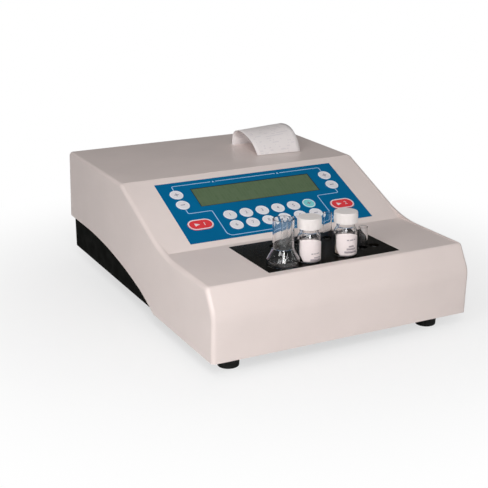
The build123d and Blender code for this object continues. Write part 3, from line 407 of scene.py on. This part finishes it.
def mesh_from(verts, faces, name):
    """A mesh whose faces all look outwards."""
    mesh = bpy.data.meshes.new(name)
    mesh.from_pydata([tuple(v) for v in verts], [], faces)
    mesh.validate()
    made = bmesh.new()
    made.from_mesh(mesh)
    bmesh.ops.recalc_face_normals(made, faces=made.faces)
    made.to_mesh(mesh)
    made.free()
    return mesh


def grid_faces(rows, columns):
    """The faces of a sheet whose points lie row after row."""
    faces = []
    for i in range(rows):
        for k in range(columns):
            a = i * (columns + 1) + k
            faces.append((a, a + 1, a + columns + 2, a + columns + 1))
    return faces


def ring_faces(rings, count):
    """The faces of a closed ring of closed profiles, each with so many points."""
    faces = []
    for i in range(rings):
        a = i * count
        b = (i + 1) % rings * count
        for j in range(count):
            k = (j + 1) % count
            faces.append((a + j, b + j, b + k, a + k))
    return faces


def spun_mesh(name, profile, centre, steps):
    """A turned shape from a closed profile of (radius, height) points."""
    verts = []
    for i in range(steps):
        turn = 2 * pi * i / steps
        for radius, height in profile:
            verts.append((centre[0] + radius * cos(turn), centre[1] + radius * sin(turn), centre[2] + height))
    return mesh_from(verts, ring_faces(steps, len(profile)), name)


def thicken(piece, thick):
    """Gives a sheet its thickness, half to each side."""
    sheet = piece.modifiers.new("thickness", "SOLIDIFY")
    sheet.thickness = thick
    sheet.offset = 0


def soften(piece, width):
    """Rounds a piece's sharp edges and keeps its flat faces flat."""
    bevel = piece.modifiers.new("bevel", "BEVEL")
    bevel.width = width
    bevel.segments = 2
    bevel.limit_method = "ANGLE"
    piece.modifiers.new("normals", "WEIGHTED_NORMAL")


def rounded(points, radius):
    """A flat open path with its corners turned into short arcs."""
    steps = 5
    path = [Vector(points[0])]
    for before, corner, after in zip(points, points[1:], points[2:]):
        corner = Vector(corner)
        before = Vector(before) - corner
        after = Vector(after) - corner
        reach = min(radius, before.length / 2, after.length / 2)
        start = corner + before.normalized() * reach
        end = corner + after.normalized() * reach
        for step in range(steps + 1):
            t = step / steps
            path.append((1 - t) ** 2 * start + 2 * t * (1 - t) * corner + t ** 2 * end)
    path.append(Vector(points[-1]))
    return path


def ribbon(name, path, width, lift, height, closed, shader, body):
    """A thin raised line on the slope, along a path of (across, down) points."""
    least_mitre = 0.5
    count = len(path)
    sides = []
    for i, point in enumerate(path):
        before = path[i - 1] if closed or i > 0 else None
        after = path[(i + 1) % count] if closed or i < count - 1 else None
        run_in = (point - before).normalized() if before is not None else (after - point).normalized()
        run_out = (after - point).normalized() if after is not None else run_in
        along = (run_in + run_out).normalized()
        across = Vector((-along.y, along.x))
        stretch = 1 / max(least_mitre, across.dot(Vector((-run_in.y, run_in.x))))
        sides.append((point + across * width / 2 * stretch, point - across * width / 2 * stretch))
    verts = []
    for left, right in sides:
        for side in (left, right):
            verts.append(on_slope(side.x, side.y, lift))
            verts.append(on_slope(side.x, side.y, lift + height))
    faces = []
    for i in range(count if closed else count - 1):
        a = 4 * i
        b = 4 * ((i + 1) % count)
        faces.append((a + 1, b + 1, b + 3, a + 3))
        faces.append((a, a + 2, b + 2, b))
        faces.append((a, b, b + 1, a + 1))
        faces.append((a + 2, a + 3, b + 3, b + 2))
    if not closed:
        last = 4 * (count - 1)
        faces.append((0, 1, 3, 2))
        faces.append((last, last + 2, last + 3, last + 1))
    return add_piece(name, mesh_from(verts, faces, name), shader, body, smooth=False)


def stadium(x, run, length, width):
    """The closed outline of a long key, or of a round one where length is width."""
    steps = 16
    half = (length - width) / 2
    path = []
    for sign, start in ((1, -pi / 2), (-1, pi / 2)):
        for i in range(steps + 1):
            if length <= width and i == steps:
                continue
            turn = start + pi * i / steps
            path.append(Vector((x + sign * half + width / 2 * cos(turn), run + width / 2 * sin(turn))))
    return path


def rectangle(x, run, half_width, half_height):
    """The corners of a rectangle round a point of the slope."""
    return [Vector((x + across * half_width, run + down * half_height)) for across, down in CORNERS]


def slope_plate(name, outline, lift, height, shader, body):
    """A flat raised shape on the slope from a closed outline."""
    count = len(outline)
    low = [on_slope(p.x, p.y, lift) for p in outline]
    high = [on_slope(p.x, p.y, lift + height) for p in outline]
    faces = [tuple(range(count, 2 * count)), tuple(reversed(range(count)))]
    for i in range(count):
        j = (i + 1) % count
        faces.append((i, j, count + j, count + i))
    return add_piece(name, mesh_from(low + high, faces, name), shader, body, smooth=False)


def slope_text(name, text, x, run, size, shader, body):
    """A raised numeral lying on a key, centred on a point."""
    curve = bpy.data.curves.new(name, "FONT")
    curve.body = text
    curve.size = size
    curve.extrude = 0.04 * MM
    curve.align_x = "CENTER"
    curve.align_y = "CENTER"
    carrier = bpy.data.objects.new(name + "_outline", curve)
    bpy.context.scene.collection.objects.link(carrier)
    bpy.context.view_layer.update()
    mesh = bpy.data.meshes.new_from_object(carrier)
    bpy.data.objects.remove(carrier)
    mesh.transform(SLOPE @ Matrix.Translation((x, -run, key_high + ink_lift)))
    mesh.name = name
    return add_piece(name, mesh, shader, body, smooth=False)


def key_width(node):
    """A key's width across the keypad."""
    low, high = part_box(node)
    return high[0] - low[0]


def add_rim(node, x, run, long):
    """The pale ring just inside a key's edge."""
    inset = 0.5 * MM
    rise = 0.16 * MM
    softness = 0.06 * MM
    length = key_width(node)
    width = 17.5 * MM if long else length
    rim = 1.5 * MM if long else 0.9 * MM
    path = stadium(x, run, length - rim - inset, width - rim - inset)
    piece = ribbon(node + "_rim", path, rim, key_high - ink_lift, rise, True,
                   trim_pale if long else key_rim, node)
    soften(piece, softness)


def start_legend(node, x, run):
    """A plain arrow and a figure on a long key."""
    digit_offset = 4.6 * MM
    digit_size = 7.5 * MM
    arrow_offset = 4.2 * MM
    arrow_half = 2.6 * MM
    arrow_reach = arrow_half * 1.3
    digit = "1" if node.endswith("left") else "2"
    slope_text(node + "_numeral", digit, x + digit_offset, run, digit_size, trim_pale, node)
    centre = x - arrow_offset
    arrow = [Vector((centre - arrow_half, run - arrow_half)), Vector((centre + arrow_reach, run)),
             Vector((centre - arrow_half, run + arrow_half))]
    slope_plate(node + "_arrow", arrow, key_high, 2 * ink_lift, trim_pale, node)


def bar_legend(node, x, run):
    """A plus, or a bar alone, on a key without a figure."""
    long_half = 2.6 * MM
    short_half = 0.55 * MM
    bars = [(long_half, short_half)]
    if node.endswith("upper") or node == TEAL_KEY:
        bars.append((short_half, long_half))
    for i, (half_width, half_height) in enumerate(bars):
        slope_plate(f"{node}_bar_{i + 1}", rectangle(x, run, half_width, half_height), key_high,
                    (2 + i / 2) * ink_lift, legend_ink, node)


def dress_keys():
    """Pale rims and generic legends on the keys."""
    numeral_size = 6.2 * MM
    numerals = {f"key_row_1_{i}": str(i) for i in range(1, 6)}
    numerals.update({f"key_row_2_{i}": str((i + 5) % 10) for i in range(1, 6)})
    for node in frame["nodes"]:
        if not node.startswith("key_"):
            continue
        x, run = slope_place(node)
        long = node.startswith("key_start")
        add_rim(node, x, run, long)
        if long:
            start_legend(node, x, run)
        elif node in numerals:
            slope_text(node + "_numeral", numerals[node], x, run, numeral_size, legend_ink, node)
        else:
            bar_legend(node, x, run)


def keypad_lines():
    """The thin pale outline that ties the groups of keys together."""
    line = 0.9 * MM
    lift = -0.05 * MM
    rise = 0.11 * MM
    key_gap = 0.6 * MM
    corner = 2.4 * MM
    left_x, upper_run = slope_place("key_left_upper")
    right_x, lower_run = slope_place("key_right_lower")
    radius = key_width("key_left_upper") / 2 + key_gap
    side_x = (right_x - left_x) / 2
    top_run = 6.3 * MM
    mark_x = (-44 * MM, 39.5 * MM)
    mark_gap = 3.2 * MM
    mark_half = 1.5 * MM
    mark_foot = mark_half * 0.8
    top = [
        [(-side_x, upper_run - radius), (-side_x, top_run), (mark_x[0] - mark_gap, top_run)],
        [(mark_x[0] + mark_gap, top_run), (mark_x[1] - mark_gap, top_run)],
        [(mark_x[1] + mark_gap, top_run), (side_x, top_run), (side_x, upper_run - radius)],
    ]
    for i, points in enumerate(top):
        ribbon(f"keypad_line_top_{i + 1}", rounded(points, corner), line, lift, rise, False,
               trim_line, "housing")
    for i, x in enumerate(mark_x):
        arrow = [Vector((x - mark_half, top_run + mark_foot)), Vector((x, top_run - mark_half)),
                 Vector((x + mark_half, top_run + mark_foot))]
        slope_plate(f"keypad_mark_{i + 1}", arrow, lift, rise, trim_line, "housing")
    shelf_run = 56.5 * MM
    inner_x = 67 * MM
    bottom_run = 101.5 * MM
    slant = 4.0 * MM
    lower = [
        (-side_x, lower_run + radius), (-side_x, shelf_run), (-inner_x, shelf_run),
        (-inner_x, bottom_run - slant), (-inner_x + slant, bottom_run),
        (inner_x - slant, bottom_run), (inner_x, bottom_run - slant),
        (inner_x, shelf_run), (side_x, shelf_run), (side_x, lower_run + radius),
    ]
    ribbon("keypad_line_lower", rounded(lower, corner), line, lift, rise, False,
           trim_line, "housing")


def display_parts():
    """The overlay's clear window, which shows the display's faint character cells in a black border."""
    window = Vector((152.0, 33.4)) * MM
    run = 30.9 * MM
    border = 1.0 * MM
    film_top = -0.25 * MM
    film_thick = 0.7 * MM
    half = window / 2
    face = slope_plate("display_face", rectangle(0, run, half.x, half.y), film_top - film_thick, film_thick,
                       display_cells, "housing")
    layer = face.data.uv_layers.new(name="cells")
    inverse = SLOPE.inverted()
    for loop in face.data.loops:
        local = inverse @ face.data.vertices[loop.vertex_index].co
        layer.data[loop.index].uv = ((local.x + half.x) / window.x, (-local.y - run + half.y) / window.y)
    edge = rectangle(0, run, half.x - border / 2, half.y - border / 2)
    ribbon("display_border", edge, border, film_top - ink_lift, 2 * ink_lift, True, bezel, "housing")


# Control points of the printed paper's two edges, in millimetres: forward from the strip's rear, and up
# from the deck
paper_left = [(0, -46), (0, -14), (0.2, 6), (2.3, 15.5), (12, 21.2), (24, 22.2), (37, 20.2), (50, 16.4),
              (59, 11.6), (65.6, 6.4), (70.8, 0.5)]
paper_right = [(0, -46), (0, -14), (-0.3, 6), (1.4, 15), (8, 21.6), (21, 26.4), (37, 28.4), (51, 26.6),
               (62, 21.0), (70, 12.0), (75.8, 0.5)]


def smooth_line(points, rear, deck):
    """The smooth curve that an edge's control points give, as a row of places."""
    curve = bpy.data.curves.new("paper_edge", "CURVE")
    curve.dimensions = "3D"
    curve.resolution_u = 24
    spline = curve.splines.new("NURBS")
    spline.points.add(len(points) - 1)
    for point, (forward, height) in zip(spline.points, points):
        point.co = (0, rear - forward * MM, deck + height * MM, 1)
    spline.order_u = 4
    spline.use_endpoint_u = True
    carrier = bpy.data.objects.new("paper_edge", curve)
    bpy.context.scene.collection.objects.link(carrier)
    bpy.context.view_layer.update()
    line = [v.co.copy() for v in bpy.data.meshes.new_from_object(carrier).vertices]
    bpy.data.objects.remove(carrier)
    return line


def evenly(line, steps):
    """Places at even distances along a line."""
    least_span = 1e-9
    lengths = [0.0]
    for a, b in zip(line, line[1:]):
        lengths.append(lengths[-1] + (b - a).length)
    even = []
    j = 0
    for i in range(steps + 1):
        want = lengths[-1] * i / steps
        while j < len(line) - 2 and lengths[j + 1] < want:
            j += 1
        span = max(least_span, lengths[j + 1] - lengths[j])
        even.append(line[j].lerp(line[j + 1], (want - lengths[j]) / span))
    return even


def paper_sheet():
    """The printed paper, from the roll up through the slot and over in a loose arch."""
    columns = 12
    rows = 72
    thick = 0.16 * MM
    deck = 0.1415
    low, high = (Vector(corner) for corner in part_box("paper_strip"))
    left, right = (evenly(smooth_line(points, high.y, deck), rows) for points in (paper_left, paper_right))
    verts = []
    for i in range(rows + 1):
        for k in range(columns + 1):
            t = k / columns
            point = left[i].lerp(right[i], t)
            point.x = low.x + (high.x - low.x) * t
            verts.append(point)
    mesh = mesh_from(verts, grid_faces(rows, columns), "paper_sheet")
    layer = mesh.uv_layers.new(name="print")
    for loop in mesh.loops:
        i, k = divmod(loop.vertex_index, columns + 1)
        layer.data[loop.index].uv = (k / columns, i / rows)
    piece = add_piece("paper_sheet", mesh, printed_paper, "housing")
    thicken(piece, thick)
    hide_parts("paper_strip")


def vial_middle(node):
    """The middle of an upright node's underside, and its radius."""
    low, high = (Vector(corner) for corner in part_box(node))
    return Vector(((low.x + high.x) / 2, (low.y + high.y) / 2, low.z)), (high.x - low.x) / 2


def wrapped_sheet(name, centre, radius, thick, left, right, bottom, top, rows, shader, body):
    """A thin sheet round a vial, from a left end given by the height and a top given by the turn."""
    columns = 64
    verts = []
    for i in range(rows + 1):
        rise = i / rows
        for k in range(columns + 1):
            turn = left(rise) + (right - left(rise)) * k / columns
            height = bottom + (top(turn) - bottom) * rise
            verts.append((centre.x + radius * cos(turn), centre.y + radius * sin(turn), centre.z + height))
    piece = add_piece(name, mesh_from(verts, grid_faces(rows, columns), name), shader, body)
    thicken(piece, thick)


# Printed bars of each label: turns from the label's middle in degrees, and heights in millimetres
label_bars = {
    1: [(8, 18, 9.4, 10.6), (22, 30, 9.4, 10.6), (34, 52, 9.4, 10.6), (4, 62, 2.2, 4.6), (22, 62, 5.2, 6.4)],
    2: [(2, 14, 17.6, 18.9), (18, 36, 17.6, 18.9), (40, 50, 17.6, 18.9), (-8, 58, 4.4, 6.6),
        (2, 52, 7.6, 9.6), (12, 40, 10.6, 12.2)],
}


def vial_labels():
    """A white paper label with an arched top round each vial, and a few plain printed bars."""
    middle = radians(243)
    left_turn = radians(187)
    right_turn = radians(487)
    slant = radians(25)
    slant_rate = 3
    bottom = 1.3 * MM
    crown = 25.6 * MM
    drop = 6.2 * MM
    paper_thick = 0.1 * MM
    label_rows = 16
    bar_rows = 2

    def label_left(rise):
        return left_turn + slant * max(0.0, 1 - slant_rate * rise)

    def label_top(turn):
        return crown - drop * (1 - max(0.0, cos(turn - middle)))

    for number, bars in label_bars.items():
        centre, radius = vial_middle(f"reagent_vial_{number}")
        body = f"vial_{number}"
        reach = radius + paper_thick
        wrapped_sheet(f"vial_label_{number}", centre, reach, paper_thick, label_left, right_turn, bottom,
                      label_top, label_rows, label_paper, body)
        for i, (start, end, low, high) in enumerate(bars):
            wrapped_sheet(f"vial_{number}_bar_{i + 1}", centre, reach + paper_thick, paper_thick / 2,
                          lambda rise, start=start: middle + radians(start), middle + radians(end), low * MM,
                          lambda turn, high=high: high * MM, bar_rows, label_ink, body)


def vial_powder():
    """The dried reagent at the bottom of the second vial."""
    glass_wall = 1.5 * MM
    floor = 1.75 * MM
    crest = 10.6 * MM
    core = 0.01 * MM
    foot_inset = 0.6 * MM
    corner = 0.8 * MM
    crest_inset = 1.2 * MM
    half_dip = 0.5 * MM
    dip = 0.9 * MM
    centre, radius = vial_middle("reagent_vial_2")
    edge = radius - glass_wall
    profile = [(core, floor), (edge - foot_inset, floor), (edge, floor + corner), (edge, crest - corner),
               (edge - crest_inset, crest), (edge / 2, crest - half_dip), (core, crest - dip)]
    mesh = spun_mesh("vial_powder", profile, centre, steps=64)
    add_piece("vial_powder", mesh, reagent, "vial_2")


def cap_ribs():
    """The fine upright grip ribs round each vial's cap."""
    count = 72
    steps = 6
    depth = 0.16 * MM
    sunk = 0.15 * MM
    foot_gap = 0.9 * MM
    top_gap = 1.6 * MM
    total = count * steps
    for number in (1, 2):
        centre, radius = vial_middle(f"vial_cap_{number}")
        low = foot_gap
        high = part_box(f"vial_cap_{number}")[1][2] - centre.z - top_gap
        inner = radius - sunk
        verts = []
        for i in range(total):
            turn = 2 * pi * i / total
            outer = radius + depth * max(0.0, cos(count * turn)) ** 0.5
            for reach, rise in ((inner, low), (outer, low + depth), (outer, high - depth), (inner, high)):
                verts.append((centre.x + reach * cos(turn), centre.y + reach * sin(turn), centre.z + rise))
        name = f"vial_cap_{number}_ribs"
        mesh = mesh_from(verts, ring_faces(total, 4), name)
        add_piece(name, mesh, cap_white, f"cap_{number}", smooth=False)


def rear_place(node, x, z):
    """A frame of axes on a node's rear face, with its third axis out of the face."""
    far_behind = 1.0
    mesh = frame["nodes"][node].data
    tree = BVHTree.FromPolygons([v.co for v in mesh.vertices], [p.vertices[:] for p in mesh.polygons])
    spot, normal = tree.ray_cast(Vector((x, far_behind, z)), Vector((0, -1, 0)))[:2]
    across = Vector((-1, 0, 0))
    up = normal.cross(across)
    return Matrix.Translation(spot) @ Matrix((across, up, normal)).transposed().to_4x4()


def rocker_marks():
    """The bar and the ring on the two halves of the mains rocker."""
    thick = 0.05 * MM
    bar_half = Vector((0.45, 2.0)) * MM
    ring_inner = 1.5 * MM
    ring_outer = 2.1 * MM
    low, high = (Vector(corner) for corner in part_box("power_switch_rocker"))
    x = (low.x + high.x) / 2
    quarter = (high.z - low.z) / 4
    place = rear_place("power_switch_rocker", x, high.z - quarter)
    verts = [place @ Vector((across * bar_half.x, up * bar_half.y, thick * side))
             for side in (-1, 1) for across, up in CORNERS]
    faces = [(0, 1, 2, 3), (7, 6, 5, 4), (0, 4, 5, 1), (1, 5, 6, 2), (2, 6, 7, 3), (3, 7, 4, 0)]
    bar = mesh_from(verts, faces, "rocker_bar")
    add_piece("rocker_bar", bar, trim_pale, "rocker", smooth=False)
    profile = [(ring_inner, -thick), (ring_outer, -thick), (ring_outer, thick), (ring_inner, thick)]
    ring = spun_mesh("rocker_ring", profile, (0, 0, 0), steps=48)
    ring.transform(rear_place("power_switch_rocker", x, low.z + quarter))
    add_piece("rocker_ring", ring, trim_pale, "rocker", smooth=False)


# Stage, light and camera

# How much of the white surroundings shows in reflections
GLOSSY_SHARE = 0.05

# Each lamp's place, what it points at, its side in metres, its power in watts, and whether gloss mirrors it
lamps = {
    "key": ((-0.6, -1.44, 1.23), (0, -0.05, 0.08), 0.65, 14.8, True),
    "side_fill": ((-1.1, -0.75, 0.6), (0, -0.05, 0.08), 0.5, 4.4, True),
    "low_fill": ((-0.3, -1.3, 0.45), (0, -0.05, 0.08), 0.5, 0.6, True),
    "ceiling": ((0.62, 0.45, 1.35), (0, -0.05, 0.1), 0.6, 1.2, True),
    "near_left": ((-0.45, -0.4, 0.65), (-0.05, -0.05, 0.1), 0.3, 1.0, True),
    "rear": ((-0.1, 1.95, 0.24), (0, 0, 0.08), 0.9, 8.5, False),
    "right_fill": ((1.3, -0.7, 0.45), (0, -0.05, 0.08), 0.5, 1.5, False),
    "edge": ((-0.9, 0.5, 0.95), (0, 0, 0.1), 0.12, 0.3, True),
}


def area_light(name, place, target, size, power, mirrored):
    """A square lamp, which gloss shows only if it is mirrored."""
    data = bpy.data.lights.new(name, "AREA")
    data.size = size
    data.energy = power
    light = bpy.data.objects.new(name, data)
    aim = (Vector(target) - Vector(place)).to_track_quat("-Z", "Y")
    light.matrix_world = Matrix.Translation(place) @ aim.to_matrix().to_4x4()
    light.visible_glossy = mirrored
    bpy.context.scene.collection.objects.link(light)


def white_to_camera(tree, shader_output, target, colour, share=None):
    """Mixes plain white into what the camera sees, also through glass, and softly into reflections."""
    path = tree.nodes.new("ShaderNodeLightPath").outputs
    mirrored = math_node(tree, "GREATER_THAN", path["Glossy Depth"], 0.5)
    level = math_node(tree, "SUBTRACT", 1.0, math_node(tree, "MULTIPLY", mirrored, 1 - GLOSSY_SHARE))
    through = math_node(tree, "MULTIPLY", path["Is Transmission Ray"], level)
    glossy = math_node(tree, "MULTIPLY", path["Is Glossy Ray"], GLOSSY_SHARE)
    seen = math_node(tree, "MAXIMUM", path["Is Camera Ray"], math_node(tree, "MAXIMUM", glossy, through))
    if share:
        seen = math_node(tree, "MULTIPLY", seen, share)
    mix = tree.nodes.new("ShaderNodeMixShader")
    tree.links.new(seen, mix.inputs["Fac"])
    tree.links.new(shader_output, mix.inputs[1])
    tree.links.new(colour, mix.inputs[2])
    tree.links.new(mix.outputs[0], target)


def build_world(strength):
    """Even soft light from all round, which the camera sees as plain white."""
    world = bpy.data.worlds.new("studio")
    bpy.context.scene.world = world
    world.use_nodes = True
    tree = world.node_tree
    ambient = tree.nodes["Background"]
    white = tree.nodes.new("ShaderNodeBackground")
    for background, level in ((ambient, strength), (white, 1.0)):
        background.inputs["Color"].default_value = (1, 1, 1, 1)
        background.inputs["Strength"].default_value = level
    out = tree.nodes["World Output"].inputs["Surface"]
    white_to_camera(tree, ambient.outputs[0], out, white.outputs[0])


def build_floor(half, shadow_reach, near_share):
    """A white floor that keeps a soft shadow near the object and is plain white further off."""
    mesh = bpy.data.meshes.new("floor")
    mesh.from_pydata([(half * across, half * back, 0) for across, back in CORNERS], [], [(0, 1, 2, 3)])
    floor = bpy.data.objects.new("floor", mesh)
    bpy.context.scene.collection.objects.link(floor)
    made = Shader("floor_paper", (0.9, 0.9, 0.9), roughness=0.9)
    glow = made.node("ShaderNodeEmission", {"Color": (1, 1, 1, 1)})
    out = made.tree.nodes["Material Output"].inputs["Surface"]
    distance = made.node("ShaderNodeVectorMath", operation="LENGTH")
    made.link(made.place(), distance.inputs[0])
    share = made.node("ShaderNodeMapRange", {
        "Value": distance.outputs["Value"],
        "From Min": shadow_reach / 2, "From Max": shadow_reach * 2,
        "To Min": near_share, "To Max": 1.0,
    }, interpolation_type="SMOOTHSTEP")
    white_to_camera(made.tree, made.main.outputs[0], out, glow.outputs[0], share.outputs["Result"])
    mesh.materials.append(made.material)


def build_camera():
    """The photograph's camera: its place, turn and lens, found from the housing's edges."""
    place = Vector((-0.5557, -1.0818, 0.4527))
    yaw, pitch, roll = radians(26.77), radians(18.05), radians(-0.22)
    forward = Vector((sin(yaw) * cos(pitch), cos(yaw) * cos(pitch), -sin(pitch)))
    right = Vector((cos(yaw), -sin(yaw), 0))
    up = right.cross(forward)
    right, up = cos(roll) * right + sin(roll) * up, cos(roll) * up - sin(roll) * right
    data = bpy.data.cameras.new("camera")
    data.sensor_width = 36
    data.lens = 80.48
    camera = bpy.data.objects.new("camera", data)
    turn = Matrix((right, up, -forward)).transposed().to_4x4()
    camera.matrix_world = Matrix.Translation(place) @ turn
    bpy.context.scene.collection.objects.link(camera)
    bpy.context.scene.camera = camera


for node in frame["nodes"]:
    dress(node, node_finish(node))
dress_keys()
keypad_lines()
display_parts()
paper_sheet()
vial_labels()
vial_powder()
cap_ribs()
rocker_marks()

bpy.context.scene.view_settings.view_transform = "Standard"
build_world(strength=0.055)
build_floor(half=6.0, shadow_reach=0.26, near_share=0.62)
for lamp, values in lamps.items():
    area_light(lamp, *values)
build_camera()
